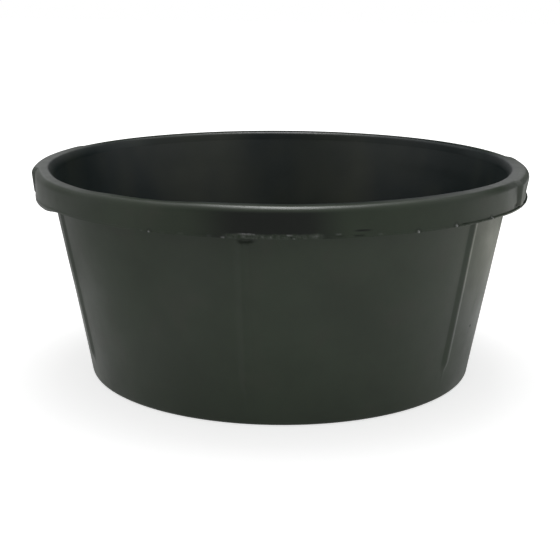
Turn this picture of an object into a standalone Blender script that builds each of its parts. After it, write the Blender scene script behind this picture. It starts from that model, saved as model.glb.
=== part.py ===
"""Rubber utility tub: a tapered bowl with six wall ribs, a thick rim band and two let-in grips.

Metres, +Z up. The origin is in the middle of the footprint, on the ground.
The grips lie on the X axis and one of the ribs faces -Y.
"""

from math import cos, hypot, pi, radians, sin, sqrt, tan

import bmesh
import bpy
from mathutils import Matrix, Vector

# Bowl
TUB_HEIGHT = 0.2160
BASE_RADIUS = 0.1992
WALL_DRAFT = radians(10.35)
WALL_THICKNESS = 0.0047
FLOOR_THICKNESS = 0.0060
BASE_ROUNDING = 0.0040
FLOOR_ROUNDING = 0.0120
TOP_EDGE_ROUNDING = 0.0008
FOOT_WIDTH = 0.0240
FOOT_RECESS = 0.0020

# Ribs on the outside of the wall
RIB_COUNT = 6
RIB_WIDTH = 0.0110
RIB_HEIGHT = 0.0020
RIB_CREST_SOFTNESS = 0.0014
RIB_END_HEIGHT = 0.0290
RIB_FADE_LENGTH = 0.0220

# Rim band, which wraps the bowl's top edge
RIM_WIDTH = 0.0171
RIM_DEPTH = 0.0276
RIM_FLARE = 0.0006
RIM_TOP_THICKNESS = 0.0090
SHOULDER_ROUNDING = 0.0070
MOUTH_ROUNDING = 0.0040
LIP_PROUD = 0.0018
LIP_THICKNESS = 0.0018
LIP_ROUNDING = 0.0005

# Grips let into the rim band
GRIP_LENGTH = 0.1630
GRIP_PROUD = 0.0030
GRIP_INSET = 0.0070
GRIP_RAMP_LENGTH = 0.0060
GRIP_FOOT_ROUNDING = 0.0010

# Clearance between pieces, and fineness
SEAT_GAP = 0.0003
TURN_STEPS = 96
GRIP_STEPS = 10
ARC_STEPS = 5
EDGE_STEPS = 2
RIB_SECTION_STEPS = 8
RIB_FADE_STEPS = 4
MERGE_DISTANCE = 0.00001
SMOOTH_ANGLE = radians(32)

# Heights, radii and angles that several pieces share
RIM_BOTTOM = TUB_HEIGHT - RIM_DEPTH
LIP_TOP = RIM_BOTTOM + LIP_THICKNESS
BOWL_TOP = TUB_HEIGHT - RIM_TOP_THICKNESS - SEAT_GAP
RIM_LEDGE = BOWL_TOP + SEAT_GAP
FLOOR_TOP = FOOT_RECESS + FLOOR_THICKNESS
GRIP_BOTTOM = LIP_TOP + SEAT_GAP
WALL_SLOPE = tan(WALL_DRAFT)
WALL_LEVEL_THICKNESS = WALL_THICKNESS / cos(WALL_DRAFT)
RIM_RADIUS = BASE_RADIUS + TUB_HEIGHT * WALL_SLOPE - WALL_LEVEL_THICKNESS + RIM_WIDTH
POCKET_RADIUS = RIM_RADIUS - GRIP_INSET
GRIP_HALF_ANGLE = GRIP_LENGTH / 2 / RIM_RADIUS
GRIP_RAMP_ANGLE = GRIP_RAMP_LENGTH / RIM_RADIUS

MATERIALS = {
    "bowl_rubber": ((0.030, 0.033, 0.029, 1.0), 0.46),
    "rim_rubber": ((0.022, 0.024, 0.022, 1.0), 0.42),
    "grip_rubber": ((0.026, 0.028, 0.026, 1.0), 0.50),
}


def wall_radius(height):
    """Outer radius of the bowl's wall at a height above the ground."""
    return BASE_RADIUS + height * WALL_SLOPE


def mouth_radius(height):
    """Inner radius of the bowl's wall at a height above the ground."""
    return wall_radius(height) - WALL_LEVEL_THICKNESS


def seat_radius(height):
    """Radius of the rim band's inner side, which clears the wall by the seat gap."""
    return wall_radius(height) + SEAT_GAP / cos(WALL_DRAFT)


def clear_scene():
    for thing in list(bpy.context.scene.objects):
        bpy.data.objects.remove(thing, do_unlink=True)


def new_collection(name):
    collection = bpy.data.collections.new(name)
    bpy.context.scene.collection.children.link(collection)
    return collection


def rubber(name):
    colour, roughness = MATERIALS[name]
    material = bpy.data.materials.new(name)
    material.use_nodes = True
    material.diffuse_color = colour
    shader = material.node_tree.nodes["Principled BSDF"]
    shader.inputs["Base Color"].default_value = colour
    shader.inputs["Roughness"].default_value = roughness
    shader.inputs["Metallic"].default_value = 0.0
    return material


def rounded_corner(before, corner, after, rounding, steps):
    """Points of an arc that is tangent to both sides of a corner of an outline."""
    if rounding == 0:
        return [corner]
    corner = Vector(corner)
    towards_before = (Vector(before) - corner).normalized()
    towards_after = (Vector(after) - corner).normalized()
    half_angle = towards_before.angle(towards_after) / 2
    bisector = (towards_before + towards_after).normalized()
    centre = corner + bisector * (rounding / sin(half_angle))
    start = corner + towards_before * (rounding / tan(half_angle)) - centre
    sweep = (pi - 2 * half_angle) * (1 if towards_before.cross(towards_after) < 0 else -1)
    turns = [Matrix.Rotation(sweep * step / steps, 2) for step in range(steps + 1)]
    return [tuple(centre + turn @ start) for turn in turns]


def rounded_outline(corners, closed):
    """Outline in (radius, height) whose corners are given as (radius, height, rounding, steps)."""
    points = []
    for index, (radius, height, rounding, steps) in enumerate(corners):
        before = corners[index - 1][:2]
        after = corners[(index + 1) % len(corners)][:2]
        points += rounded_corner(before, (radius, height), after, rounding, steps)
    if closed:
        return points + [points[0]]
    return points


def add_object(name, mesh, collection, material=None):
    item = bpy.data.objects.new(name, mesh)
    collection.objects.link(item)
    if material:
        mesh.materials.append(material)
    return item


def shade(item):
    item.data.shade_smooth()
    item.data.set_sharp_from_angle(angle=SMOOTH_ANGLE)


def turned(name, outline, collection, material):
    """Solid turned about Z from an outline that runs down its outer side."""
    closed = outline[0] == outline[-1]
    count = len(outline) - 1 if closed else len(outline)
    edges = [(index, (index + 1) % count) for index in range(len(outline) - 1)]
    mesh = bpy.data.meshes.new(name)
    mesh.from_pydata([(radius, 0, height) for radius, height in outline[:count]], edges, [])
    item = add_object(name, mesh, collection, material)
    screw = item.modifiers.new("turn", "SCREW")
    screw.axis = "Z"
    screw.steps = TURN_STEPS
    screw.render_steps = TURN_STEPS
    screw.use_merge_vertices = True
    screw.merge_threshold = MERGE_DISTANCE
    screw.use_smooth_shade = True
    return item


def loft(name, sections):
    """Closed mesh through sections of equally many points, with a flat cap at both ends."""
    shape = bmesh.new()
    loops = []
    for section in sections:
        ring = [shape.verts.new(point) for point in section]
        loops.append([shape.edges.new((ring[index - 1], ring[index])) for index in range(len(ring))])
    for first, second in zip(loops, loops[1:]):
        bmesh.ops.bridge_loops(shape, edges=first + second)
    for end in (loops[0], loops[-1]):
        bmesh.ops.contextual_create(shape, geom=end)
    bmesh.ops.recalc_face_normals(shape, faces=shape.faces)
    mesh = bpy.data.meshes.new(name)
    shape.to_mesh(mesh)
    shape.free()
    return mesh


def placed(outline, angle):
    """Points in space of a closed outline in (radius, height), at an angle from +X."""
    return [(radius * cos(angle), radius * sin(angle), height) for radius, height in outline[:-1]]


def boolean(item, operation, other):
    cut = item.modifiers.new(other.name, "BOOLEAN")
    cut.operation = operation
    cut.solver = "EXACT"
    if isinstance(other, bpy.types.Collection):
        cut.operand_type = "COLLECTION"
        cut.collection = other
    else:
        cut.object = other


def as_guide(item):
    item.hide_render = True
    item.display_type = "WIRE"


def bowl_outline():
    """From the middle of the floor up the inside, over the top edge and down to the foot."""
    foot_inner_radius = wall_radius(0) - FOOT_WIDTH
    corners = [
        (0, FLOOR_TOP, 0, 0),
        (mouth_radius(FLOOR_TOP), FLOOR_TOP, FLOOR_ROUNDING, ARC_STEPS),
        (mouth_radius(BOWL_TOP), BOWL_TOP, TOP_EDGE_ROUNDING, EDGE_STEPS),
        (wall_radius(BOWL_TOP), BOWL_TOP, TOP_EDGE_ROUNDING, EDGE_STEPS),
        (wall_radius(0), 0, BASE_ROUNDING, ARC_STEPS),
        (foot_inner_radius, 0, 0, 0),
        (foot_inner_radius - FOOT_RECESS, FOOT_RECESS, 0, 0),
        (0, FOOT_RECESS, 0, 0),
    ]
    return rounded_outline(corners, closed=False)


def rim_outline():
    """From the mouth across the crest, down the face to the lip, and back up along the bowl."""
    face_radius = RIM_RADIUS + RIM_FLARE
    lip_radius = face_radius + LIP_PROUD
    corners = [
        (mouth_radius(TUB_HEIGHT), TUB_HEIGHT, MOUTH_ROUNDING, ARC_STEPS),
        (RIM_RADIUS, TUB_HEIGHT, SHOULDER_ROUNDING, ARC_STEPS),
        (face_radius, LIP_TOP, 0, 0),
        (lip_radius, LIP_TOP, LIP_ROUNDING, EDGE_STEPS),
        (lip_radius, RIM_BOTTOM, LIP_ROUNDING, EDGE_STEPS),
        (seat_radius(RIM_BOTTOM), RIM_BOTTOM, 0, 0),
        (seat_radius(RIM_LEDGE), RIM_LEDGE, 0, 0),
        (mouth_radius(RIM_LEDGE), RIM_LEDGE, 0, 0),
    ]
    return rounded_outline(corners, closed=True)


def grip_outline(share):
    """Section of a grip: flush with the rim's face where share is 0, and raised where it is 1.

    The raised face leans in towards the ground like the wall, under a round shoulder.
    """
    lean = (1 + sin(WALL_DRAFT)) / cos(WALL_DRAFT) - 1
    raised_top = RIM_RADIUS + GRIP_PROUD + SHOULDER_ROUNDING * lean
    raised_foot = raised_top - (TUB_HEIGHT - GRIP_BOTTOM) * WALL_SLOPE
    top_radius = RIM_RADIUS + share * (raised_top - RIM_RADIUS)
    flush_foot = RIM_RADIUS + RIM_FLARE
    foot_radius = flush_foot + share * (raised_foot - flush_foot)
    inner_radius = POCKET_RADIUS + SEAT_GAP
    corners = [
        (inner_radius, TUB_HEIGHT, 0, 0),
        (top_radius, TUB_HEIGHT, SHOULDER_ROUNDING, ARC_STEPS),
        (foot_radius, GRIP_BOTTOM, GRIP_FOOT_ROUNDING, EDGE_STEPS),
        (inner_radius, GRIP_BOTTOM, 0, 0),
    ]
    return rounded_outline(corners, closed=True)


def grip_stations():
    """Angles along a grip from its middle, each with how far the section is raised."""
    half_angle = GRIP_HALF_ANGLE - SEAT_GAP / POCKET_RADIUS
    raised_angle = half_angle - GRIP_RAMP_ANGLE
    stations = [(-half_angle, 0)]
    for step in range(GRIP_STEPS + 1):
        stations.append((raised_angle * (2 * step / GRIP_STEPS - 1), 1))
    stations.append((half_angle, 0))
    return stations


def pocket_outline():
    """Section of the pocket for a grip, which is open upwards and outwards."""
    reach = RIM_RADIUS + GRIP_PROUD + RIM_DEPTH
    top = TUB_HEIGHT + RIM_DEPTH
    corners = [(POCKET_RADIUS, top), (reach, top), (reach, LIP_TOP), (POCKET_RADIUS, LIP_TOP)]
    return corners + [corners[0]]


def rib_section(height, crest):
    """Points across a rib at one height: a soft V whose flanks run on into the wall."""
    flank_slope = RIB_HEIGHT / (RIB_WIDTH / 2)
    root = WALL_THICKNESS / 3
    soft = RIB_CREST_SOFTNESS
    half_width = sqrt((soft + (crest + root) / flank_slope) ** 2 - soft ** 2)
    points = []
    for step in range(RIB_SECTION_STEPS + 1):
        across = half_width * (1 - 2 * step / RIB_SECTION_STEPS)
        drop = flank_slope * (hypot(across, soft) - soft)
        points.append(Vector((across, -wall_radius(height) - crest + drop, height)))
    return points


def rib_stations():
    """Heights and crest heights along a rib, from under the rim to where it has died out in the wall."""
    stations = [(RIM_BOTTOM - SEAT_GAP, RIB_HEIGHT)]
    for step in range(RIB_FADE_STEPS + 1):
        share = step / RIB_FADE_STEPS
        crest = RIB_HEIGHT * (1 + cos(pi * share)) / 2
        stations.append((RIB_END_HEIGHT + RIB_FADE_LENGTH * (1 - share), crest))
    buried = WALL_THICKNESS / 6
    stations.append((RIB_END_HEIGHT - RIB_FADE_LENGTH / RIB_FADE_STEPS, -buried))
    return stations


def make_bowl(tub, guides):
    bowl = turned("tub_bowl", bowl_outline(), tub, rubber("bowl_rubber"))
    ribs = bpy.data.collections.new("ribs")
    guides.children.link(ribs)
    mesh = loft("rib", [rib_section(height, crest) for height, crest in rib_stations()])
    for index in range(RIB_COUNT):
        rib = add_object(f"rib_{index}", mesh, ribs)
        rib.rotation_euler.z = 2 * pi * index / RIB_COUNT
        as_guide(rib)
    boolean(bowl, "UNION", ribs)
    shade(bowl)


def make_rim(tub, guides):
    rim = turned("rim_band", rim_outline(), tub, rubber("rim_rubber"))
    for side, angle in (("right", 0), ("left", pi)):
        turns = [GRIP_HALF_ANGLE * (2 * step / GRIP_STEPS - 1) for step in range(GRIP_STEPS + 1)]
        mesh = loft(f"pocket_{side}", [placed(pocket_outline(), angle + turn) for turn in turns])
        pocket = add_object(f"pocket_{side}", mesh, guides)
        as_guide(pocket)
        boolean(rim, "DIFFERENCE", pocket)
    shade(rim)


def make_grips(tub):
    material = rubber("grip_rubber")
    for side, angle in (("right", 0), ("left", pi)):
        sections = [placed(grip_outline(share), angle + turn) for turn, share in grip_stations()]
        grip = add_object(f"grip_pad_{side}", loft(f"grip_pad_{side}", sections), tub, material)
        shade(grip)


def main():
    clear_scene()
    tub = new_collection("rubber_utility_tub")
    guides = new_collection("guides")
    make_bowl(tub, guides)
    make_rim(tub, guides)
    make_grips(tub)


main()
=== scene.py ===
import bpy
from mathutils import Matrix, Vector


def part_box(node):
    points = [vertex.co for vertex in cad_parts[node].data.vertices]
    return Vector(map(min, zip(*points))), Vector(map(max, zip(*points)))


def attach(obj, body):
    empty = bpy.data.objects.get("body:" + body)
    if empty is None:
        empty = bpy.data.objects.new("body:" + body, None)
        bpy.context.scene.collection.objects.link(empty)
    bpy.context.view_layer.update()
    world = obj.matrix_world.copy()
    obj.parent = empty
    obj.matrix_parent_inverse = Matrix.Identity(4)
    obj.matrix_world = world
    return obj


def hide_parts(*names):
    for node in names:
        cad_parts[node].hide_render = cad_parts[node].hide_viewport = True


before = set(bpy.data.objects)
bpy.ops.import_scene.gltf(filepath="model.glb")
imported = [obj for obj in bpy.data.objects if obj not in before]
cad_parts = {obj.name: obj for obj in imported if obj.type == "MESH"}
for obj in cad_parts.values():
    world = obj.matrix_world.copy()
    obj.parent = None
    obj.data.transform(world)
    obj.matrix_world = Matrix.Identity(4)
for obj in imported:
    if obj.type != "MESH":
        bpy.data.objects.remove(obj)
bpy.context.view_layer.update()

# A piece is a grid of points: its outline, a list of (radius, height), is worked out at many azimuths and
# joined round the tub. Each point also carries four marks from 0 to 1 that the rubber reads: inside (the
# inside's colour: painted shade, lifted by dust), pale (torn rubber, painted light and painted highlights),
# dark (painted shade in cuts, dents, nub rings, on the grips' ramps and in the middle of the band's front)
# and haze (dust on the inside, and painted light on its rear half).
"""Looks of a black rubber utility tub: bowl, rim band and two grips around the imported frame.

A piece is a grid of points: its outline, a list of (radius, height), is worked out at many azimuths
and joined round the tub. Each point also carries four marks from 0 to 1 that the rubber reads:
inside, pale (torn or rubbed), dark (cut or dirty) and haze (dust on the inside).

Metres, +Z up. An azimuth is measured from the -Y side, positive towards +X.
"""

from collections import namedtuple
from math import ceil, cos, exp, hypot, pi, radians, sin, sqrt, tan

import bmesh
import bpy
from mathutils import Matrix, Vector, noise

BODY = "root"

# Bowl, as in the solids
TUB_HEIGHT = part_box("rim_band")[1].z
BOWL_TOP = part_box("tub_bowl")[1].z
BASE_RADIUS = 0.1992
WALL_DRAFT = radians(10.35)
WALL_SLOPE = tan(WALL_DRAFT)
WALL_LEVEL_THICKNESS = 0.0047 / cos(WALL_DRAFT)
FLOOR_TOP = 0.0080
FLOOR_ROUNDING = 0.0120
FLOOR_EDGE = 0.001
BASE_ROUNDING = 0.0040
FOOT_WIDTH = 0.0240
FOOT_RECESS = 0.0020
FOOT_EDGE_ROUNDING = 0.0006

# Ribs: as in the solids, but faded over a shorter length, turned by some degrees from even
# spacing, and with the left one longer at its lower end
RIB_COUNT = 6
RIB_WIDTH = 0.0110
RIB_HEIGHT = 0.0020
RIB_CREST_SOFTNESS = 0.0014
RIB_FOOT_SOFTNESS = 0.0003
RIB_SIDE_FADE = 0.0030
RIB_TOP_GAP = 0.0002
RIB_MARGIN = 0.0010
RIB_END_HEIGHT = 0.0290
RIB_FADE_LENGTH = 0.0120
RIB_SHIFTS = {1: -1.5, 0: -1.0, -1: 0.6}
LEFT_RIB = -1
LEFT_RIB_EXTRA = 0.0060

# Small damage on the wall: a crescent trimmed out of the front rib's top, and a pit at the right, both
# darkened by their depth with painted shade
CRESCENT_AZIMUTH = radians(0.1)
CRESCENT_LEVEL = 0.1838
CRESCENT_SAG = 0.0012
CRESCENT_SAG_REACH = 0.0080
CRESCENT_HALF_LENGTH = 0.0076
CRESCENT_HALF_WIDTH = 0.0023
CRESCENT_DEPTH = 0.0017
PIT_AZIMUTH = radians(70.5)
PIT_LEVEL = 0.0675
PIT_REACH = 0.0011
PIT_DEPTH = 0.0010
DENT_PAINTED_SHADE = 0.45

# Waves of the moulded surface: the wall's fade out at the rim and the foot, the floor's at its edge
WALL_WAVE = 0.00045
WALL_RIPPLE = 0.00012
WAVE_FADE_AT_RIM = 0.010
WAVE_START_AT_FOOT = 0.004
WAVE_FADE_AT_FOOT = 0.02
FLOOR_WAVE = 0.0004
FLOOR_WAVE_REACH = 0.17
FLOOR_WAVE_FADE = 0.03
BAND_WAVE = 0.00022
BAND_WAVE_LIMIT = 0.0001

# Dust on the inside: its level on the floor and the wall, and how much clouds change it; the rear half of
# the wall gets a further level that is painted light
FLOOR_HAZE = 0.17
WALL_HAZE = 0.05
REAR_PAINTED_LIGHT = 0.22
HAZE_START = FLOOR_TOP + 0.002
HAZE_RISE = 0.150
WIDE_CLOUDS = 0.40
NARROW_CLOUDS = 0.24
REAR_FIELD = [(1.0, 120, 255, 40)]
LIGHT_FIELDS = [(0.36, 195, 232, 9), (0.36, 155, 186, 9), (-0.288, 124, 160, 12)]

# Rim band, as in the solids
RIM_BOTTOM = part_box("rim_band")[0].z
RIM_RADIUS = BASE_RADIUS + TUB_HEIGHT * WALL_SLOPE - WALL_LEVEL_THICKNESS + 0.0171
RIM_FLARE = 0.0006
RIM_LEDGE = BOWL_TOP + 0.00002
SEAT_GAP = 0.0003
LIP_THICKNESS = 0.0018
LIP_TOP = RIM_BOTTOM + LIP_THICKNESS
LIP_PROUD = 0.0018
LIP_SLANT = 0.0002
LIP_ROUNDING = 0.0005
SHOULDER_ROUNDING = 0.0070
MOUTH_ROUNDING = 0.0040

# Where the rim is out of true in the photograph: bumps of (size, start, end, blend) in degrees
TOP_SUNK = [(0.0022, -71, -31, 13), (0.0013, -46, -6, 13), (0.0002, 2, 28, 8)]
TOP_CLEARANCE = 0.00002
MOUTH_SHIFTS = [(0.0042, -135, -6, 11), (-0.0015, 12, 54, 8), (0.0020, 56, 130, 9)]
MOUTH_ROUNDINGS = [(0.0010, -125, -12, 10), (0.0012, 62, 125, 8), (-0.0012, -6, 56, 7)]
LIP_FLAPS = [(0.0035, -84, -47, 10), (0.0009, 60, 114, 8)]
LIP_TRIMMED = [(1.0, -80, 49, 4)]
LIP_TRIMMED_CLOSE = [(1.0, -82, -52, 6)]

# Raggedness of the lip, in full and where it is trimmed to a stub
LIP_RAGGEDNESS = 0.0002
LIP_STUB = 0.0002
STUB_RAGGEDNESS = 0.0003
STUB_CRUMBS = 0.0002
STUB_TRIMMED_CLOSER = 0.0001
DROOP_RAGGEDNESS = 0.0002
LIP_TOP_FOLLOWS = 0.6

# How far inside the band's face the marks, and the outside's colour, end
FACE_MARKS_INSET = 0.004
OUTSIDE_INSET = 0.014
OUTSIDE_BLEND = 0.005
GRIP_COVER = 0.0003

# Rows of the band's face, closest together in the strip that has marks
BAND_MARKS_TOP = 0.1975
FACE_ROWS = [0.2050, 0.2015, 0.1985, 0.1965] + [0.1955 - 0.00045 * step for step in range(11)]

# The rough strip that the trimmed flash has left in front, and painted light on the lip's lower edge at the
# left
TORN_STRIP = [(1.0, -4.2, 16.6, 2)]
TORN_STRIP_TOP = 0.1936
TORN_STRIP_RAGGEDNESS = 0.0009
TORN_STRIP_FADE = 0.0022
LIP_PAINTED_LIGHT = [(0.04, -82, -20, 5)]
LIP_PAINTED_LIGHT_TOP = 0.1896
LIP_PAINTED_LIGHT_FADE = 0.0008

# Nubs on the band's lower edge, as (azimuth in degrees, height, reach)
NUBS = [
    (-19.45, 0.1888, 0.0013),
    (36.0, 0.1890, 0.0015),
    (45.9, 0.1899, 0.0015),
    (57.7, 0.1900, 0.0013),
    (75.0, 0.1920, 0.0022),
]

# Marks near the lower edge, as (azimuth in degrees, height, half width, half height, share)
PALE_MARKS = [
    (-21.2, 0.1890, 0.0018, 0.0007, 0.30),
    (-16.4, 0.1892, 0.0018, 0.0008, 0.10),
    (-12.5, 0.1901, 0.0030, 0.0009, 0.11),
    (-6.5, 0.1898, 0.0020, 0.0012, 0.12),
    (-3.75, 0.1889, 0.0017, 0.0010, 1.0),
    (0.4, 0.1905, 0.0022, 0.0009, 0.45),
    (0.7, 0.1925, 0.0053, 0.0008, 1.0),
    (2.3, 0.1922, 0.0014, 0.0007, 0.6),
    (4.0, 0.1905, 0.0010, 0.0009, 0.5),
    (5.6, 0.1906, 0.0010, 0.0009, 0.5),
    (9.2, 0.1919, 0.0026, 0.0007, 0.9),
    (10.1, 0.1886, 0.0011, 0.0008, 1.0),
    (14.3, 0.1908, 0.0034, 0.0009, 0.5),
    (18.8, 0.1921, 0.0024, 0.0007, 0.4),
    (27.5, 0.1905, 0.0020, 0.0006, 0.3),
]
# Cuts are sunk notches whose darkness is painted shade; the last darkens the band beside the right grip's
# near end
CUTS = [
    (0.9, 0.1938, 0.0050, 0.00040, 0.5),
    (7.4, 0.1926, 0.0030, 0.00040, 0.4),
    (9.6, 0.1902, 0.0012, 0.00060, 0.6),
    (19.2, 0.1900, 0.0040, 0.00050, 0.4),
    (23.0, 0.1902, 0.0050, 0.00080, 0.7),
    (23.7, 0.1945, 0.0074, 0.00080, 1.0),
    (48.5, 0.1899, 0.0040, 0.00045, 0.4),
    (52.0, 0.1896, 0.0050, 0.00045, 0.4),
    (56.0, 0.1896, 0.0030, 0.00045, 0.4),
    (70.6, 0.1922, 0.0034, 0.00220, 0.7),
]
PALE_MARK_RELIEF = 0.00040
CUT_DEPTH = 0.0007
NUB_PROUD = 0.9
# A nub's pale dome is torn rubber with a painted highlight, and its dark ring is painted shade
NUB_PALE_AND_HIGHLIGHT = 0.75
NUB_RING_SHADE = 0.45

# Measures of the torn rubber, as (level, share of rough noise, share of finer crumbs)
STRIP_RELIEF = (-0.00020, 0.00022, 0.00012)
STRIP_PALENESS = (0.040, 0.08, 0.06)
MARK_PALENESS = (0.36, 0.30, 0.25)

# Painted highlight along the top on either side, azimuths in degrees: it starts at one azimuth and
# grows over a number of degrees; from end_start on, it covers the shoulder too and the top deeper
TopHighlight = namedtuple("TopHighlight", "start growth end_start shoulder depth end_depth")
TOP_HIGHLIGHT_RIGHT = TopHighlight(26, 42, 61, 0.36, 0.0007, 0.0009)
TOP_HIGHLIGHT_LEFT = TopHighlight(24, 34, 54, 0.20, 0.0012, 0.0)
TOP_HIGHLIGHT_MOST = 0.46
TOP_HIGHLIGHT_UNEVENNESS = 0.25
TOP_HIGHLIGHT_UNTIL = 116
TOP_HIGHLIGHT_FADE = 22
TOP_HIGHLIGHT_END_GROWTH = 8
TOP_HIGHLIGHT_SHOULDER_DEPTH = 0.0085
TOP_HIGHLIGHT_SHOULDER_FADE = 0.006

# Painted shade in the middle of the band's front, where its rubber is also rougher
SHADE_PATCH_CENTRE = radians(5.5)
SHADE_PATCH_HALF_WIDTH = radians(18)
SHADE_PATCH_BLEND = radians(12)
SHADE_PATCH_TOP = 0.2135
SHADE_PATCH_FADE = 0.003

# Grips: as in the solids, but with a longer ramp, a deeper inner edge and a more upright face
# at their ends; painted shade darkens the ramps from two depths down, as (darkness, depth)
GRIP_PROUD = 0.0030
GRIP_HALF_ANGLE = 0.1630 / 2 / RIM_RADIUS
GRIP_RAMP_ANGLE = 0.0080 / RIM_RADIUS
GRIP_SEAM = 0.0001
GRIP_TOP_CLEARANCE = 0.00004
GRIP_SIDE_CLEARANCE = 0.00012
GRIP_INSET = 0.0080
GRIP_FOOT_INSET = 0.0070
GRIP_END_FOOT_PROUD = 0.0028
GRIP_END_ZONE = radians(8)
GRIP_END_BLEND = radians(5)
GRIP_EDGE_HEIGHT = 0.0012
GRIP_EDGE_WIDTH = 0.0004
GRIP_EDGE_ROUNDING = 0.0002
GRIP_FOOT_ROUNDING = 0.0010
GRIP_RAMP_SHADE = [(0.35, 0.004), (0.30, 0.017)]
GRIP_RAMP_SHADE_FADE = 0.006
GRIP_RAMP_STEPS = 8
GRIP_RAMP_EASING = 0.3
GRIP_FLAT_STEPS = 30

# The grips, as (side, azimuth, share of the upright face at its ends)
GRIPS = [("right", pi / 2, 1.0), ("left", -pi / 2, 0.6)]

# Rows of the wall's outside below the rim, closest together at the crescent and at the pit
FIRST_ROW_DEPTHS = (0.0001, 0.0003)
CRESCENT_ROW = 0.0007
CRESCENT_ROW_COUNT = 16
MIDDLE_ROW = 0.0042
MIDDLE_ROWS_END = 0.0740
PIT_ROWS_TOP = 0.0700
PIT_ROW = 0.0006
PIT_ROW_COUNT = 9
LOW_ROW = 0.0036
LOW_ROWS_END = 0.0120

# Spacing of the grids, the marks of points that have no other, and the angle of a sharp edge
FINE_STEP = radians(0.16)
RIM_FINE_STEP = radians(0.14)
BOWL_STEP = radians(1.0)
RIM_STEP = radians(0.9)
RIB_ZONE = radians(4.0)
RIM_ZONES = [(-22, 61), (73, 77)]
ROW_LENGTH = 0.0045
POLE_ROW_RADIUS = 0.02
POLE_MARKS = (1.0, 0.0, 0.0, 0.2)
PLAIN_MARKS = (0.0, 0.0, 0.0, 0.0)
SHARP_ANGLE = radians(50)

# Roughness and specular level of each rubber, and colours of them all
BOWL_RUBBER = (0.42, 0.35)
RIM_RUBBER = (0.36, 0.25)
GRIP_RUBBER = (0.38, 0.25)
OUTSIDE_DARK = (0.0190, 0.0285, 0.0160)
OUTSIDE_LIGHT = (0.0262, 0.0385, 0.0225)
OUTSIDE_BROWN = (0.0290, 0.0340, 0.0225)
# The inside's colour without dust is painted shade, far darker than the same rubber outside
INSIDE_SHADED = (0.0015, 0.0066, 0.0066)
INSIDE_DUSTY = (0.0270, 0.0320, 0.0215)
SPECKLED = (0.070, 0.080, 0.068)
WORN = (0.120, 0.130, 0.135)
# Colour of the dark marks, which are all painted shade
DARKENED = (0.0030, 0.0035, 0.0036)
# Colour of the pale marks: torn rubber, painted light and painted highlights
PALE = (0.355, 0.360, 0.360)

# Noise of the rubber's colour and surface, as (scale, detail, roughness) and at times distortion,
# and how far each one shows; a bump is (distance, strength)
CLOUD_NOISE = (11, 4, 0.55)
PATCH_NOISE = (23, 3, 0.5, 0.4)
PATCH_SHARE = 0.5
SPECKLE_NOISE = (900, 2, 0.6)
SPECKLE_SHARE = 0.14
WORN_NOISE = (38, 5, 0.62)
WORN_SHARE = 0.07
WORN_START = TUB_HEIGHT - 0.0035
WORN_FULL = TUB_HEIGHT - 0.0003
DARK_SHARE = 0.85
GLOSS_NOISE = (17, 5, 0.6)
GLOSSIER = 0.04
DULLER = 0.05
DARK_DULLING = 0.25
WAVE_NOISE = (60, 3, 0.5)
WAVE_BUMP = (0.0006, 0.20)
GRAIN_NOISE = (1300, 2, 0.6)
GRAIN_BUMP = (0.00012, 0.5)

# Studio: light of the floor and world, and cards and floor mats that only the tub's gloss sees,
# as (name, centre, vector along one side, vector along the other, brightness, share of blue)
FLOOR_COLOUR = (0.86, 0.86, 0.86, 1)
FLOOR_ROUGHNESS = 0.9
FLOOR_HALF_SIZE = 8
FLOOR_GLOW = 0.62
FLOOR_GLOW_NEAR = 0.55
FLOOR_GLOW_FAR = 1.5
FLOOR_MIRRORED = 0.50
WORLD_LIGHT = 0.52
WHITE = (1, 1, 1, 1)
BLACK = (0, 0, 0, 1)
LAMP_TARGET = (0, 0, 0.1)
CARDS = [
    ("card_behind", (0.1, 3.0, 1.5), (9.0, 0, 0), (0, 0, 3.0), 0.03, 1.0),
    ("card_left", (-1.1, 0.55, 0.4), (0.7, 0.9, 0), (0, 0, 0.8), 0.40, 1.0),
    ("mat_behind", (-0.07, 1.7, 0.003), (1.35, 0, 0), (0, 2.5, 0), 0.05, 1.0),
    ("mat_right", (0.62, 0.33, 0.005), (0.5, 0, 0), (0, 0.5, 0), 1.4, 0.90),
    ("mat_left_near", (-0.51, 0.0, 0.004), (0.22, 0, 0), (0, 0.8, 0), 0.42, 1.0),
    ("mat_left_front", (-0.32, -0.24, 0.005), (0.16, 0, 0), (0, 0.32, 0), 0.58, 1.0),
    ("mat_left_far", (-1.03, 0.15, 0.004), (0.8, 0, 0), (0, 1.3, 0), 0.67, 1.0),
    ("mat_front", (0.10, -1.05, 0.003), (0.42, 0, 0), (0, 0.7, 0), 0.05, 1.0),
    ("card_above_front", (0.0, -1.5, 0.75), (1.8, 0, 0), (0, 0, 0.8), 0.30, 1.0),
]

# Lamps, as (name, place, width, depth, power)
OVERHEAD_LAMP = ("overhead", (0.0, 0.18, 1.5), 0.9, 0.9, 6)
HIGHLIGHT_LAMP = ("highlight_strip", (-0.02, 0.10, 1.3), 0.32, 0.85, 12)

# Camera, fitted to the outline in the photograph
CAMERA_AZIMUTH = radians(7.5)
CAMERA_ELEVATION = radians(14.34)
CAMERA_ROLL = radians(0.317)
CAMERA_DISTANCE = 1.3123
CAMERA_LOOK_HEIGHT = 0.0887
CAMERA_LENS = 79.27
CAMERA_SHIFT = -0.0004
CAMERA_SENSOR = 36
CAMERA_CLIP_END = 50


# Measures and blends


def wall_radius(height):
    """Radius of the wall's outside."""
    return BASE_RADIUS + height * WALL_SLOPE


def mouth_radius(height):
    """Radius of the wall's inside."""
    return wall_radius(height) - WALL_LEVEL_THICKNESS


def seat_radius(height):
    """Radius of the rim band's seat, just clear of the wall."""
    return wall_radius(height) + SEAT_GAP / cos(WALL_DRAFT)


def clamped(share):
    return min(max(share, 0.0), 1.0)


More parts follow.
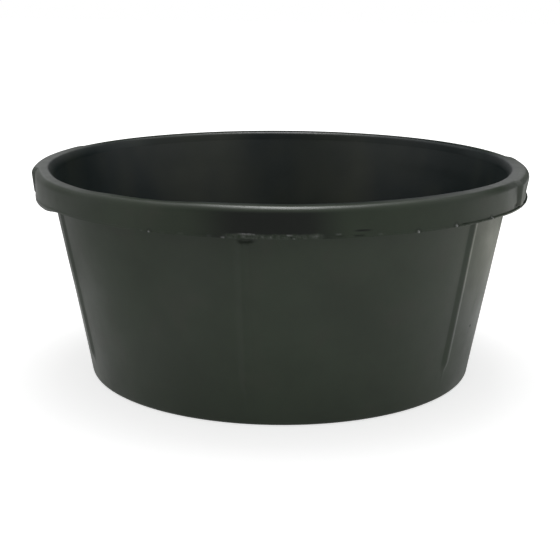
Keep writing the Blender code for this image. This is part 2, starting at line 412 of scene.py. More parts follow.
def smooth_step(share):
    share = clamped(share)
    return share * share * (3 - 2 * share)


def signed_degrees(azimuth):
    """An azimuth in degrees, from -180 to 180."""
    degrees = azimuth * 180 / pi
    return degrees - 360 if degrees > 180 else degrees


def plateau(value, start, end, blend):
    """One between start and end, falling off smoothly to zero over a blend inside each of them."""
    return smooth_step((value - start) / blend) * smooth_step((end - value) / blend)


def bumps(azimuth, table):
    """Sum of plateaus round the tub, from a table of (size, start, end, blend) in degrees."""
    return sum(size * plateau(azimuth, radians(start), radians(end), radians(blend))
               for size, start, end, blend in table)


def spot(azimuth, height, centre, level, half_width, half_height):
    """A flat-topped mark on the band, centred on an azimuth in degrees and a level in metres."""
    across = (azimuth - radians(centre)) * RIM_RADIUS / half_width
    down = (height - level) / half_height
    return exp(-across ** 4 - down ** 4)


def ring_noise(azimuth, radius, height, scale, seed):
    """Smooth noise at a point of the tub, from about -1 to 1, with details of 1/scale metres."""
    point = Vector((radius * sin(azimuth), -radius * cos(azimuth), height)) * scale
    return noise.noise(point + Vector((seed, 0, 0)))


def band_noise(azimuth, height, scale, seed):
    """The same noise on the rim band's face."""
    return ring_noise(azimuth, RIM_RADIUS, height, scale, seed)


# Outlines and meshes


def rounded_corner(before, corner, after, rounding, steps):
    """Points of an arc that rounds a corner of an outline, or the corner itself."""
    if rounding == 0:
        return [corner]
    corner = Vector(corner)
    towards_before = (Vector(before) - corner).normalized()
    towards_after = (Vector(after) - corner).normalized()
    half_angle = towards_before.angle(towards_after) / 2
    bisector = (towards_before + towards_after).normalized()
    centre = corner + bisector * (rounding / sin(half_angle))
    start = corner + towards_before * (rounding / tan(half_angle)) - centre
    sweep = (pi - 2 * half_angle) * (1 if towards_before.cross(towards_after) < 0 else -1)
    return [tuple(centre + Matrix.Rotation(sweep * i / steps, 2) @ start) for i in range(steps + 1)]


def rounded_outline(corners):
    """Points (radius, height) of an outline whose corners are (radius, height, rounding, steps)."""
    points = []
    for index, (radius, height, rounding, steps) in enumerate(corners):
        before = corners[index - 1][:2]
        after = corners[(index + 1) % len(corners)][:2]
        points += rounded_corner(before, (radius, height), after, rounding, steps)
    return points


def divided(points, longest):
    """The same open outline with its long sides divided."""
    result = []
    for (radius, height), (next_radius, next_height) in zip(points, points[1:]):
        wide, high = next_radius - radius, next_height - height
        count = max(1, ceil(hypot(wide, high) / longest))
        for step in range(count):
            share = step / count
            result.append((radius + wide * share, height + high * share))
    result.append(points[-1])
    return result


def turned(outline, azimuth):
    """An outline placed in space at an azimuth."""
    return [(radius * sin(azimuth), -radius * cos(azimuth), height) for radius, height in outline]


def column_azimuths(step, zones):
    """Azimuths round the whole circle, closer together in zones of (start, end, step)."""
    angles = set()
    for index in range(round(2 * pi / step)):
        angle = -pi + index * step
        if not any(start - step / 3 < angle < end + step / 3 for start, end, _ in zones):
            angles.add(round(angle, 7))
    for start, end, fine in zones:
        count = round((end - start) / fine)
        for index in range(count + 1):
            angles.add(round(start + (end - start) * index / count, 7))
    return sorted(angles)


def grid_faces(rows, count, wrap_columns, wrap_rows):
    """Faces of a grid of points in columns, which may close round the columns and the rows."""
    faces = []
    for column in range(count if wrap_columns else count - 1):
        here, beyond = column * rows, ((column + 1) % count) * rows
        for row in range(rows if wrap_rows else rows - 1):
            step = (row + 1) % rows
            faces.append((here + row, here + step, beyond + step, beyond + row))
    return faces


def pole_fans(columns, points):
    """Fans of faces that close the first and last row of a ring on two new points on the axis."""
    rows, count = len(columns[0]), len(columns)
    faces = []
    for row, height in ((0, columns[0][0][2]), (rows - 1, columns[0][-1][2])):
        pole = len(points)
        points.append((0.0, 0.0, height))
        for column in range(count):
            first, second = column * rows + row, ((column + 1) % count) * rows + row
            faces.append((pole, first, second) if row == 0 else (pole, second, first))
    return faces


def end_caps(rows, count):
    """The faces that close a strip of columns at both ends."""
    return [tuple(range(rows - 1, -1, -1)), tuple(range((count - 1) * rows, count * rows))]


def grid_mesh(name, columns, marks, wrap_columns=True, wrap_rows=True, poles=False):
    """Mesh through a grid of points, columns[azimuth][point], with its faces out and its marks."""
    rows, count = len(columns[0]), len(columns)
    points = [tuple(point) for column in columns for point in column]
    faces = grid_faces(rows, count, wrap_columns, wrap_rows)
    if poles:
        faces += pole_fans(columns, points)
    if not wrap_columns:
        faces += end_caps(rows, count)
    mesh = bpy.data.meshes.new(name)
    mesh.from_pydata(points, [], faces)
    marks = marks + [POLE_MARKS] * (len(points) - len(marks))
    for index, mark in enumerate(("inside", "pale", "dark", "haze")):
        attribute = mesh.attributes.new(mark, "FLOAT", "POINT")
        attribute.data.foreach_set("value", [values[index] for values in marks])
    shape = bmesh.new()
    shape.from_mesh(mesh)
    bmesh.ops.recalc_face_normals(shape, faces=shape.faces)
    if shape.calc_volume(signed=True) < 0:
        bmesh.ops.reverse_faces(shape, faces=shape.faces)
    shape.to_mesh(mesh)
    shape.free()
    return mesh


def add_piece(name, mesh, material, slot_name, *nodes):
    """Put a piece in the scene, riding on the tub's body in place of its solids."""
    piece = bpy.data.objects.new(name, mesh)
    bpy.context.scene.collection.objects.link(piece)
    mesh.materials.append(material)
    mesh.shade_smooth()
    mesh.set_sharp_from_angle(angle=SHARP_ANGLE)
    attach(piece, BODY)
    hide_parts(*nodes)


# Bowl


def rib_height(azimuth, height):
    """How far the nearest rib stands out of the wall at a point, zero away from the ribs."""
    if not RIB_END_HEIGHT - LEFT_RIB_EXTRA - RIB_MARGIN <= height <= RIM_BOTTOM - RIB_TOP_GAP:
        return 0.0
    spacing = 2 * pi / RIB_COUNT
    number = round(azimuth / spacing)
    offset = azimuth - number * spacing - radians(RIB_SHIFTS.get(number, 0.0))
    across = offset * wall_radius(height)
    if abs(across) > RIB_WIDTH:
        return 0.0
    crest = RIB_HEIGHT
    end = RIB_END_HEIGHT - (LEFT_RIB_EXTRA if number == LEFT_RIB else 0.0)
    if height < end + RIB_FADE_LENGTH:
        share = (end + RIB_FADE_LENGTH - height) / RIB_FADE_LENGTH
        crest *= (1 + cos(pi * min(share, 1.0))) / 2
    slope = RIB_HEIGHT / (RIB_WIDTH / 2)
    rise = crest - slope * (hypot(across, RIB_CREST_SOFTNESS) - RIB_CREST_SOFTNESS)
    rounded_rise = (rise + sqrt(rise * rise + RIB_FOOT_SOFTNESS * RIB_FOOT_SOFTNESS)) / 2
    return rounded_rise * smooth_step((RIB_WIDTH - abs(across)) / RIB_SIDE_FADE)


def dent_depth(azimuth, height):
    """Depth of the crescent on top of the front rib and of the pit at the right."""
    across = (azimuth - CRESCENT_AZIMUTH) * wall_radius(height)
    level = CRESCENT_LEVEL - CRESCENT_SAG * (1 - (across / CRESCENT_SAG_REACH) ** 2)
    down = height - level
    fade = (across / CRESCENT_HALF_LENGTH) ** 6 + (down / CRESCENT_HALF_WIDTH) ** 2
    from_pit = hypot((azimuth - PIT_AZIMUTH) * wall_radius(height), height - PIT_LEVEL)
    return CRESCENT_DEPTH * exp(-fade) + PIT_DEPTH * exp(-(from_pit / PIT_REACH) ** 4)


def wall_waves(azimuth, radius, height, seed):
    """Slight unevenness of a moulded rubber wall, fading out at the rim and the foot."""
    fade = smooth_step((RIM_BOTTOM - height) / WAVE_FADE_AT_RIM)
    fade *= smooth_step((height - WAVE_START_AT_FOOT) / WAVE_FADE_AT_FOOT)
    wide = ring_noise(azimuth, radius, height, 9, seed)
    narrow = ring_noise(azimuth, radius, height, 28, seed + 7)
    return fade * (WALL_WAVE * wide + WALL_RIPPLE * narrow)


def inside_dust_and_light(azimuth, radius, height):
    """How dusty the inside is, and painted light on its rear half: two light fields and a dark one on the
    rear wall, and clouds.
    """
    positive_azimuth = azimuth % (2 * pi)
    fields = REAR_PAINTED_LIGHT * bumps(positive_azimuth, REAR_FIELD) + bumps(positive_azimuth, LIGHT_FIELDS)
    on_wall = smooth_step((height - HAZE_START) / HAZE_RISE)
    level = FLOOR_HAZE + on_wall * (fields + WALL_HAZE - FLOOR_HAZE)
    wide = ring_noise(azimuth, radius, height * 0.5, 16, 41.0)
    narrow = ring_noise(azimuth, radius, height * 0.6, 42, 47.0)
    return clamped(level + WIDE_CLOUDS * wide + NARROW_CLOUDS * narrow)


def wall_heights():
    """Heights of the outside's rows, from the rim down, close together at the crescent and pit."""
    heights = [RIM_BOTTOM - depth for depth in FIRST_ROW_DEPTHS]
    heights += [RIM_BOTTOM - CRESCENT_ROW * step for step in range(1, CRESCENT_ROW_COUNT + 1)]
    while heights[-1] > MIDDLE_ROWS_END:
        heights.append(heights[-1] - MIDDLE_ROW)
    heights += [PIT_ROWS_TOP - PIT_ROW * step for step in range(PIT_ROW_COUNT)]
    while heights[-1] > LOW_ROWS_END:
        heights.append(heights[-1] - LOW_ROW)
    return heights


def inside_outline():
    """The inside, from near the floor's middle to the wall's top edge."""
    return divided(rounded_outline([
        (POLE_ROW_RADIUS, FLOOR_TOP, 0, 0),
        (mouth_radius(FLOOR_TOP), FLOOR_TOP, FLOOR_ROUNDING, 8),
        (mouth_radius(BOWL_TOP), BOWL_TOP, 0, 0),
    ]), ROW_LENGTH)


def outside_outline():
    """The outside, from the wall's top edge down."""
    heights = [BOWL_TOP, BAND_MARKS_TOP] + wall_heights()
    return [(wall_radius(height), height) for height in heights]


def base_outline():
    """The base, from the wall's foot over the foot ring to near the underside's middle."""
    inner_foot = BASE_RADIUS - FOOT_WIDTH
    corners = rounded_outline([
        (wall_radius(LOW_ROWS_END), LOW_ROWS_END, 0, 0),
        (wall_radius(0), 0, BASE_ROUNDING, 6),
        (inner_foot, 0, FOOT_EDGE_ROUNDING, 2),
        (inner_foot - FOOT_RECESS, FOOT_RECESS, FOOT_EDGE_ROUNDING, 2),
        (POLE_ROW_RADIUS, FOOT_RECESS, 0, 0),
    ])
    return divided(corners[1:], ROW_LENGTH)


def bowl_azimuths():
    """Azimuths of the bowl's columns, close together at the ribs and the pit."""
    spacing = 2 * pi / RIB_COUNT
    ribs = [number * spacing for number in range(-2, 3)]
    zones = [(rib - RIB_ZONE, rib + RIB_ZONE, FINE_STEP) for rib in ribs]
    zones.append((PIT_AZIMUTH - radians(1), PIT_AZIMUTH + radians(1), FINE_STEP))
    zones += [(pi - RIB_ZONE, pi, FINE_STEP), (-pi, -pi + RIB_ZONE, FINE_STEP)]
    return [azimuth for azimuth in column_azimuths(BOWL_STEP, zones) if azimuth < pi - 1e-6]


def bowl_columns():
    """Outlines of the bowl in columns round it, and the marks of all their points in order."""
    inside, outside, base = inside_outline(), outside_outline(), base_outline()
    columns, marks = [], []
    for azimuth in bowl_azimuths():
        column = []
        for radius, height in inside:
            if height > FLOOR_TOP + FLOOR_EDGE:
                radius += wall_waves(azimuth, radius, height, 11.0)
            else:
                wave = FLOOR_WAVE * ring_noise(azimuth, radius, 0.0, 14, 21.0)
                height += wave * smooth_step((FLOOR_WAVE_REACH - radius) / FLOOR_WAVE_FADE)
            column.append((radius, height))
            marks.append((1.0, 0.0, 0.0, inside_dust_and_light(azimuth, radius, height)))
        for radius, height in outside:
            dent = dent_depth(azimuth, height)
            if height < RIM_BOTTOM:
                radius += wall_waves(azimuth, radius, height, 3.0) + rib_height(azimuth, height) - dent
            column.append((radius, height))
            # The crescent and the pit are darkened by their depth as painted shade
            marks.append((0.0, 0.0, min(dent / CRESCENT_DEPTH, 1.0) * DENT_PAINTED_SHADE, 0.0))
        column += base
        marks += [PLAIN_MARKS] * len(base)
        columns.append(turned(column, azimuth))
    return columns, marks


# Rim band


def torn_strip(azimuth, height):
    """One where the flash was cut off the band's lower edge and left a rough strip."""
    top = TORN_STRIP_TOP + TORN_STRIP_RAGGEDNESS * band_noise(azimuth, 0.0, 150, 27.0)
    return bumps(azimuth, TORN_STRIP) * smooth_step((top - height) / TORN_STRIP_FADE)


def painted_highlight_share(azimuth, below):
    """How pale the painted highlight makes the rim at a depth below its top, growing from the front to both
    ends.
    """
    degrees = signed_degrees(azimuth)
    side = TOP_HIGHLIGHT_RIGHT if degrees > 0 else TOP_HIGHLIGHT_LEFT
    degrees = abs(degrees)
    grown = clamped((degrees - side.start) / side.growth)
    faded = clamped((TOP_HIGHLIGHT_UNTIL - degrees) / TOP_HIGHLIGHT_FADE)
    rough = 1 + TOP_HIGHLIGHT_UNEVENNESS * band_noise(azimuth, 0.0, 90, 61.0)
    end = smooth_step((degrees - side.end_start) / TOP_HIGHLIGHT_END_GROWTH)
    on_top = smooth_step(1.1 - below / (side.depth + side.end_depth * end))
    shoulder_fade = smooth_step((TOP_HIGHLIGHT_SHOULDER_DEPTH - below) / TOP_HIGHLIGHT_SHOULDER_FADE)
    on_shoulder = side.shoulder * end * shoulder_fade
    return TOP_HIGHLIGHT_MOST * grown * faded * rough * max(on_top, on_shoulder)


def nub_marks(azimuth, height, nub):
    """Relief, paleness and darkness of a nub: a small dome, pale as torn rubber and with a painted
    highlight, in a ring of painted shade.
    """
    centre, level, reach = nub
    away = hypot((azimuth - radians(centre)) * RIM_RADIUS, height - level) / reach
    relief = NUB_PROUD * reach * sqrt(1 - away * away) if away < 1 else 0.0
    pale = NUB_PALE_AND_HIGHLIGHT * smooth_step((1.1 - away) / 0.7)
    dark = NUB_RING_SHADE * smooth_step((away - 1.3) / 0.5) * smooth_step((2.9 - away) / 0.9)
    return relief, pale, dark


def speckled(measure, rough, crumbs):
    """A measure of torn rubber at a point, from the noise there."""
    level, by_rough, by_crumbs = measure
    return level + by_rough * rough + by_crumbs * crumbs


def band_marks(azimuth, height):
    """Relief of the band's face, and how pale (torn rubber and painted light) and how dark (painted shade)
    its rubber is there.
    """
    strip = torn_strip(azimuth, height)
    rough = band_noise(azimuth, height, 420, 3.0)
    crumbs = band_noise(azimuth, height, 900, 17.0)
    relief = strip * speckled(STRIP_RELIEF, rough, crumbs)
    pale = strip * speckled(STRIP_PALENESS, rough, crumbs)
    dark = 0.0
    # Painted light on the lip's lower edge at the left, against its shaded rounding
    pale = max(pale, bumps(azimuth, LIP_PAINTED_LIGHT) * smooth_step((LIP_PAINTED_LIGHT_TOP - height) / LIP_PAINTED_LIGHT_FADE))
    for *place, share in PALE_MARKS:
        mark = share * spot(azimuth, height, *place)
        relief += PALE_MARK_RELIEF * mark
        pale = max(pale, mark * speckled(MARK_PALENESS, rough, crumbs))
    # Cuts sink the face, with painted shade in them
    for *place, share in CUTS:
        mark = share * spot(azimuth, height, *place)
        relief -= CUT_DEPTH * mark
        dark = max(dark, mark)
    # Nubs stand out, with a painted highlight on top and painted shade round them
    for nub in NUBS:
        nub_relief, nub_pale, nub_dark = nub_marks(azimuth, height, nub)
        relief += nub_relief
        pale = max(pale, nub_pale)
        dark = max(dark, nub_dark)
    return relief, max(pale, 0.0), dark


def shaded_patch(azimuth, height):
    """One in the middle of the band's front, where its rubber is painted dark as shade and made rougher."""
    across = smooth_step((SHADE_PATCH_HALF_WIDTH - abs(azimuth - SHADE_PATCH_CENTRE)) / SHADE_PATCH_BLEND)
    return across * smooth_step((SHADE_PATCH_TOP - height) / SHADE_PATCH_FADE)


def lip_reach(azimuth):
    """How far the flash under the rim stands out of its face: ragged, and trimmed back in front."""
    trimmed = bumps(azimuth, LIP_TRIMMED)
    close = bumps(azimuth, LIP_TRIMMED_CLOSE)
    ragged = band_noise(azimuth, 0.19, 220, 5.0)
    crumbs = band_noise(azimuth, 0.19, 700, 9.0)
    full = LIP_PROUD - LIP_RAGGEDNESS + LIP_RAGGEDNESS * ragged
    rough = STUB_RAGGEDNESS * max(ragged, 0) + STUB_CRUMBS * max(crumbs, 0)
    stub = LIP_STUB + rough * (1 - close) - STUB_TRIMMED_CLOSER * close
    return min(full * (1 - trimmed) + stub * trimmed, LIP_PROUD)


def lip_droop(azimuth):
    """How far the flash hangs down: a flap at each grip, and a little unevenness all round."""
    return bumps(azimuth, LIP_FLAPS) + DROOP_RAGGEDNESS * band_noise(azimuth, 0.2, 500, 13.0)


def rim_outline(azimuth, top):
    """Closed outline of the rim band at an azimuth, with its lip, under a top of a given height."""
    reach = lip_reach(azimuth)
    droop = lip_droop(azimuth)
    wave = min(BAND_WAVE * band_noise(azimuth, 0.2, 12, 31.0), BAND_WAVE_LIMIT)
    face_top = RIM_RADIUS + wave
    face_foot = face_top + RIM_FLARE
    lip = face_foot + reach
    lip_rounding = min(LIP_ROUNDING, reach * 0.45)
    lip_top = LIP_TOP - LIP_TOP_FOLLOWS * max(droop, 0)
    mouth = mouth_radius(top) + bumps(azimuth, MOUTH_SHIFTS)
    corners = [
        (mouth, top, MOUTH_ROUNDING + bumps(azimuth, MOUTH_ROUNDINGS), 10),
        (face_top, top, SHOULDER_ROUNDING, 14),
    ]
    for height in FACE_ROWS:
        share = (TUB_HEIGHT - height) / (TUB_HEIGHT - LIP_TOP)
        corners.append((face_top + (face_foot - face_top) * share, height, 0, 0))
    corners += [
        (face_foot, lip_top, 0, 0),
        (lip, lip_top - LIP_SLANT, lip_rounding, 3),
        (lip - LIP_SLANT, RIM_BOTTOM - droop, lip_rounding, 3),
        (seat_radius(RIM_BOTTOM), RIM_BOTTOM, 0, 0),
        (seat_radius(RIM_LEDGE), RIM_LEDGE, 0, 0),
        (mouth_radius(RIM_LEDGE), RIM_LEDGE, 0, 0),
        (mouth_radius(RIM_LEDGE + 0.001), RIM_LEDGE + 0.001, 0, 0),
    ]
    return rounded_outline(corners)


def rim_section(azimuth):
    """The rim band's outline with the relief of its face, and the marks of each of its points."""
    top = TUB_HEIGHT - bumps(azimuth, TOP_SUNK) - TOP_CLEARANCE
    points, marks = [], []
    for radius, height in rim_outline(azimuth, top):
        relief, pale, dark = 0.0, 0.0, 0.0
        if radius > RIM_RADIUS - FACE_MARKS_INSET and height < BAND_MARKS_TOP:
            relief, pale, dark = band_marks(azimuth, height)
        outside = smooth_step((radius - RIM_RADIUS + OUTSIDE_INSET) / OUTSIDE_BLEND)
        # Painted shade in the middle of the band's front, off its torn strip
        patch_shade = shaded_patch(azimuth, height) * outside * (1 - torn_strip(azimuth, height))
        points.append((min(radius + relief, RIM_RADIUS + GRIP_PROUD - GRIP_COVER), height))
        # Painted highlight along the rim's top
        pale = max(pale, painted_highlight_share(azimuth, top - height))
        marks.append((1 - outside, pale, max(dark, patch_shade), inside_dust_and_light(azimuth, radius, height)))
    return points, marks


def rim_columns():
    """Outlines of the rim band in columns round it, and the marks of all their points in order."""
    zones = [(radians(start), radians(end), RIM_FINE_STEP) for start, end in RIM_ZONES]
    columns, marks = [], []
    for azimuth in column_azimuths(RIM_STEP, zones):
        outline, column_marks = rim_section(azimuth)
        columns.append(turned(outline, azimuth))
        marks += column_marks
    return columns, marks


# Grips


def grip_outline(share, end_share):
    """Outline of a grip: share says how far it is raised, end_share how upright its face is."""
    lean = (1 + sin(WALL_DRAFT)) / cos(WALL_DRAFT) - 1
    bottom = LIP_TOP + GRIP_SEAM
    top = TUB_HEIGHT - GRIP_TOP_CLEARANCE
    raised_top = RIM_RADIUS + GRIP_PROUD + SHOULDER_ROUNDING * lean - GRIP_SIDE_CLEARANCE
    raised_foot = raised_top - (TUB_HEIGHT - bottom) * WALL_SLOPE
    raised_foot += end_share * (RIM_RADIUS + GRIP_END_FOOT_PROUD - raised_foot)
    flush_foot = RIM_RADIUS + RIM_FLARE
    inner = RIM_RADIUS - GRIP_INSET
    return rounded_outline([
        (inner, top - GRIP_EDGE_HEIGHT, GRIP_EDGE_ROUNDING, 2),
        (inner + GRIP_EDGE_WIDTH, top, GRIP_EDGE_ROUNDING, 2),
        (RIM_RADIUS + share * (raised_top - RIM_RADIUS), top, SHOULDER_ROUNDING, 12),
        (flush_foot + share * (raised_foot - flush_foot), bottom, GRIP_FOOT_ROUNDING, 4),
        (RIM_RADIUS - GRIP_FOOT_INSET, bottom, 0, 0),
    ])


def grip_offsets():
    """Places of a grip's columns, as (angle from its middle, how far up the end ramp it is)."""
    flat = GRIP_HALF_ANGLE - GRIP_RAMP_ANGLE
    shares = [step / GRIP_RAMP_STEPS for step in range(GRIP_RAMP_STEPS)]
    first_ramp = [(-GRIP_HALF_ANGLE + GRIP_RAMP_ANGLE * share, share) for share in shares]
    steps = range(GRIP_FLAT_STEPS + 1)
    middle = [(-flat + 2 * flat * step / GRIP_FLAT_STEPS, 1.0) for step in steps]
    last_ramp = [(-offset, share) for offset, share in reversed(first_ramp)]
    return first_ramp + middle + last_ramp


def grip_columns(centre, end_foot):
    """Outlines of a grip in columns along it, and the marks of all their points in order."""
    columns, marks = [], []
    for offset, share in grip_offsets():
        eased = GRIP_RAMP_EASING * smooth_step(share) + (1 - GRIP_RAMP_EASING) * share
        azimuth = centre + offset
        near_end = smooth_step((abs(offset) - GRIP_HALF_ANGLE + GRIP_END_ZONE) / GRIP_END_BLEND)
        outline = grip_outline(eased, end_foot * near_end)
        columns.append(turned(outline, azimuth))
        for _, height in outline:
            below = TUB_HEIGHT - height
            # Painted shade on the end ramps, from two depths down
            ramp_shade = sum(dark * smooth_step((below - depth) / GRIP_RAMP_SHADE_FADE) for dark, depth in GRIP_RAMP_SHADE)
            # Painted highlight along the grip's top
            marks.append((0.0, painted_highlight_share(azimuth, below), (1 - share) * ramp_shade, 0.0))
    return columns, marks


# Materials


class Tree:
    """A material's node tree with short ways to add and link nodes."""

    def __init__(self, name):
        self.material = bpy.data.materials.new(name)
        self.material.use_nodes = True
        self.nodes = self.material.node_tree.nodes
        self.links = self.material.node_tree.links
        self.shader = self.nodes["Principled BSDF"]
        self.place = self.nodes.new("ShaderNodeTexCoord").outputs["Object"]

    def set(self, socket, value):
        if isinstance(value, bpy.types.NodeSocket):
            self.links.new(value, socket)
        elif isinstance(value, tuple) and len(value) == 3 and socket.type == "RGBA":
            socket.default_value = (*value, 1)
        else:
            socket.default_value = value

    def noise(self, scale, detail, roughness, distortion=0.0):
        node = self.nodes.new("ShaderNodeTexNoise")
        self.set(node.inputs["Vector"], self.place)
        node.inputs["Scale"].default_value = scale
        node.inputs["Detail"].default_value = detail
        node.inputs["Roughness"].default_value = roughness
        node.inputs["Distortion"].default_value = distortion
        return node.outputs["Fac"]

    def ramp(self, value, low, high, to_low=0.0, to_high=1.0):
        node = self.nodes.new("ShaderNodeMapRange")
        node.interpolation_type = "SMOOTHSTEP"
        self.set(node.inputs["Value"], value)
        for key, number in (("From Min", low), ("From Max", high), ("To Min", to_low), ("To Max", to_high)):
            node.inputs[key].default_value = number
        return node.outputs["Result"]

    def math(self, operation, first, second):
        node = self.nodes.new("ShaderNodeMath")
        node.operation = operation
        self.set(node.inputs[0], first)
        self.set(node.inputs[1], second)
        return node.outputs[0]

    def mix(self, share, first, second):
        node = self.nodes.new("ShaderNodeMix")
        node.data_type = "RGBA"
        self.set(node.inputs[0], share)
        self.set(node.inputs[6], first)
        self.set(node.inputs[7], second)
        return node.outputs[2]

    def bump(self, value, distance, strength, after=None):
        node = self.nodes.new("ShaderNodeBump")
        self.set(node.inputs["Height"], value)
        node.inputs["Distance"].default_value = distance
        node.inputs["Strength"].default_value = strength
        if after is not None:
            self.links.new(after, node.inputs["Normal"])
        return node.outputs["Normal"]

    def height(self):
        node = self.nodes.new("ShaderNodeSeparateXYZ")
        self.set(node.inputs[0], self.place)
        return node.outputs["Z"]

    def mark(self, name):
        node = self.nodes.new("ShaderNodeAttribute")
        node.attribute_name = name
        return node.outputs["Fac"]


def rubber_colour(tree):
    """Cloudy green black, with painted shade inside lifted by dust, wear along the top, and marks of torn
    rubber, painted light and painted shade.
    """
    cloud = tree.ramp(tree.noise(*CLOUD_NOISE), 0.35, 0.68)
    patch = tree.ramp(tree.noise(*PATCH_NOISE), 0.52, 0.72)
    outside = tree.mix(cloud, OUTSIDE_DARK, OUTSIDE_LIGHT)
    outside = tree.mix(tree.math("MULTIPLY", patch, PATCH_SHARE), outside, OUTSIDE_BROWN)
    # Inside: painted shade, lifted by dust and by painted light on the rear half
    inside = tree.mix(tree.mark("haze"), INSIDE_SHADED, INSIDE_DUSTY)
    colour = tree.mix(tree.mark("inside"), outside, inside)
    speckle = tree.ramp(tree.noise(*SPECKLE_NOISE), 0.60, 0.78)
    colour = tree.mix(tree.math("MULTIPLY", speckle, SPECKLE_SHARE), colour, SPECKLED)
    near_top = tree.ramp(tree.height(), WORN_START, WORN_FULL)
    worn = tree.ramp(tree.noise(*WORN_NOISE), 0.34, 0.66, 0.0, WORN_SHARE)
    colour = tree.mix(tree.math("MULTIPLY", near_top, worn), colour, WORN)
    # Dark marks: painted shade
    colour = tree.mix(tree.math("MULTIPLY", tree.mark("dark"), DARK_SHARE), colour, DARKENED)
    # Pale marks: torn rubber, painted light and painted highlights
    return tree.mix(tree.mark("pale"), colour, PALE)


def rubber(name, roughness, specular):
    """Satin black rubber with fine grain and uneven gloss, duller where it is marked dark."""
    tree = Tree(name)
    tree.set(tree.shader.inputs["Base Color"], rubber_colour(tree))
    gloss = tree.ramp(tree.noise(*GLOSS_NOISE), 0.3, 0.7, roughness - GLOSSIER, roughness + DULLER)
    dulled = tree.math("MULTIPLY", tree.mark("dark"), DARK_DULLING)
    tree.set(tree.shader.inputs["Roughness"], tree.math("ADD", gloss, dulled))
    tree.shader.inputs["Specular IOR Level"].default_value = specular
    waves = tree.bump(tree.noise(*WAVE_NOISE), *WAVE_BUMP)
    grain = tree.bump(tree.noise(*GRAIN_NOISE), *GRAIN_BUMP, waves)
    tree.set(tree.shader.inputs["Normal"], grain)
    return tree.material


def floor_material():
    """Pale floor that shows as white, with the tub's soft shadow on it near the tub."""
    tree = Tree("studio_floor")
    shader = tree.shader
    shader.inputs["Base Color"].default_value = FLOOR_COLOUR
    shader.inputs["Roughness"].default_value = FLOOR_ROUGHNESS
    shader.inputs["Specular IOR Level"].default_value = 0.0
    paths = tree.nodes.new("ShaderNodeLightPath").outputs
    mirrored = tree.math("MAXIMUM", paths["Is Glossy Ray"], paths["Is Transmission Ray"])
    mirrored = tree.math("MULTIPLY", mirrored, FLOOR_MIRRORED)
    seen = tree.math("MAXIMUM", paths["Is Camera Ray"], mirrored)
    away = tree.nodes.new("ShaderNodeVectorMath")
    away.operation = "LENGTH"
    tree.set(away.inputs[0], tree.place)
    glow = tree.ramp(away.outputs["Value"], FLOOR_GLOW_NEAR, FLOOR_GLOW_FAR, FLOOR_GLOW, 1.0)
    shader.inputs["Emission Color"].default_value = WHITE
    tree.set(shader.inputs["Emission Strength"], tree.math("MULTIPLY", seen, glow))
    return tree.material


# Studio


def make_world():
    """White for what the camera, gloss and transmission see, and a moderate grey light for the rest."""
    world = bpy.data.worlds.new("studio")
    bpy.context.scene.world = world
    world.use_nodes = True
    nodes, links = world.node_tree.nodes, world.node_tree.links
    background = nodes["Background"]
    background.inputs["Color"].default_value = WHITE
    paths = nodes.new("ShaderNodeLightPath").outputs
    seen = paths["Is Camera Ray"]
    for path in ("Is Glossy Ray", "Is Transmission Ray"):
        either = nodes.new("ShaderNodeMath")
        either.operation = "MAXIMUM"
        links.new(seen, either.inputs[0])
        links.new(paths[path], either.inputs[1])
        seen = either.outputs[0]
    strength = nodes.new("ShaderNodeMapRange")
    links.new(seen, strength.inputs["Value"])
    strength.inputs["To Min"].default_value = WORLD_LIGHT
    strength.inputs["To Max"].default_value = 1.0
    links.new(strength.outputs["Result"], background.inputs["Strength"])


def area_light(name, place, width, depth, power):
    """Rectangular lamp that looks at the tub."""
    data = bpy.data.lights.new(name, "AREA")
    data.shape = "RECTANGLE"
    data.size = width
    data.size_y = depth
    data.energy = power
    lamp = bpy.data.objects.new(name, data)
    bpy.context.scene.collection.objects.link(lamp)
    lamp.location = place
    lamp.rotation_euler = (Vector(LAMP_TARGET) - Vector(place)).to_track_quat("-Z", "Y").to_euler()
    return lamp


def make_lamps():
    """A soft lamp overhead, and one that only draws the bright line along the rim's front edge."""
    area_light(*OVERHEAD_LAMP)
    strip = area_light(*HIGHLIGHT_LAMP)
    strip.visible_diffuse = False


def make_floor():
    shape = bmesh.new()
    bmesh.ops.create_grid(shape, x_segments=2, y_segments=2, size=FLOOR_HALF_SIZE)
    mesh = bpy.data.meshes.new("studio_floor")
    shape.to_mesh(mesh)
    shape.free()
    floor = bpy.data.objects.new("studio_floor", mesh)
    bpy.context.scene.collection.objects.link(floor)
    mesh.materials.append(floor_material())


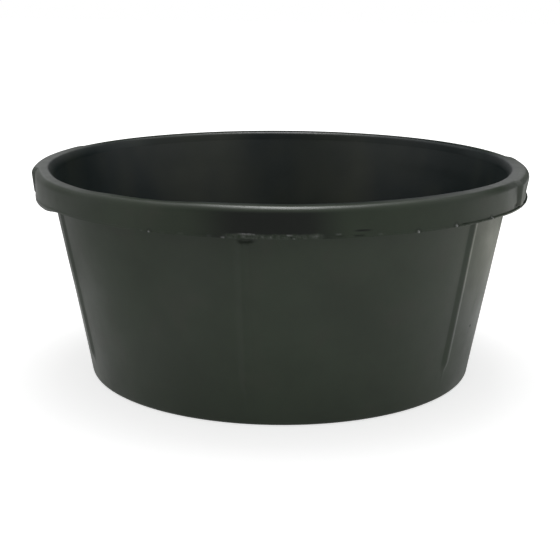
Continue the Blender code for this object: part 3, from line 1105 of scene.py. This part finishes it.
def make_card(name, centre, across, up, brightness, blue):
    """Card seen only by reflections on the tub; across and up are the vectors along its sides."""
    middle, across, up = Vector(centre), Vector(across) / 2, Vector(up) / 2
    corners = [middle - across - up, middle + across - up, middle + across + up, middle - across + up]
    mesh = bpy.data.meshes.new(name)
    mesh.from_pydata([tuple(corner) for corner in corners], [], [(0, 1, 2, 3)])
    material = bpy.data.materials.new(name)
    material.use_nodes = True
    shader = material.node_tree.nodes["Principled BSDF"]
    shader.inputs["Base Color"].default_value = BLACK
    shader.inputs["Specular IOR Level"].default_value = 0.0
    shader.inputs["Emission Color"].default_value = (1, 1, blue, 1)
    shader.inputs["Emission Strength"].default_value = brightness
    mesh.materials.append(material)
    card = bpy.data.objects.new(name, mesh)
    bpy.context.scene.collection.objects.link(card)
    card.visible_camera = False
    card.visible_diffuse = False
    card.visible_transmission = False
    card.visible_shadow = False


def make_camera():
    azimuth, elevation, roll = CAMERA_AZIMUTH, CAMERA_ELEVATION, CAMERA_ROLL
    back = Vector((sin(azimuth) * cos(elevation), -cos(azimuth) * cos(elevation), sin(elevation)))
    right = Vector((cos(azimuth), sin(azimuth), 0))
    up = back.cross(right)
    turned_right = right * cos(roll) + up * sin(roll)
    turned_up = up * cos(roll) - right * sin(roll)
    data = bpy.data.cameras.new("camera")
    data.lens = CAMERA_LENS
    data.shift_x = CAMERA_SHIFT
    data.sensor_width = CAMERA_SENSOR
    data.clip_end = CAMERA_CLIP_END
    camera = bpy.data.objects.new("camera", data)
    bpy.context.scene.collection.objects.link(camera)
    matrix = Matrix((turned_right, turned_up, back)).transposed().to_4x4()
    matrix.translation = back * CAMERA_DISTANCE + Vector((0, 0, CAMERA_LOOK_HEIGHT))
    camera.matrix_world = matrix
    bpy.context.scene.camera = camera


# The tub


def make_bowl():
    columns, marks = bowl_columns()
    mesh = grid_mesh("tub_bowl_moulding", columns, marks, wrap_rows=False, poles=True)
    material = rubber("bowl_rubber", *BOWL_RUBBER)
    add_piece("tub_bowl_moulding", mesh, material, "bowl_rubber", "tub_bowl")


def make_rim():
    columns, marks = rim_columns()
    mesh = grid_mesh("rim_band_moulding", columns, marks)
    material = rubber("rim_rubber", *RIM_RUBBER)
    add_piece("rim_band_moulding", mesh, material, "rim_rubber", "rim_band")


def make_grips():
    material = rubber("grip_rubber", *GRIP_RUBBER)
    for side, centre, end_foot in GRIPS:
        name = f"grip_pad_{side}_moulding"
        columns, marks = grip_columns(centre, end_foot)
        mesh = grid_mesh(name, columns, marks, wrap_columns=False)
        add_piece(name, mesh, material, "grip_rubber", f"grip_pad_{side}")


def main():
    bpy.context.scene.view_settings.view_transform = "Standard"
    make_bowl()
    make_rim()
    make_grips()
    make_floor()
    make_world()
    make_lamps()
    for card in CARDS:
        make_card(*card)
    make_camera()


main()
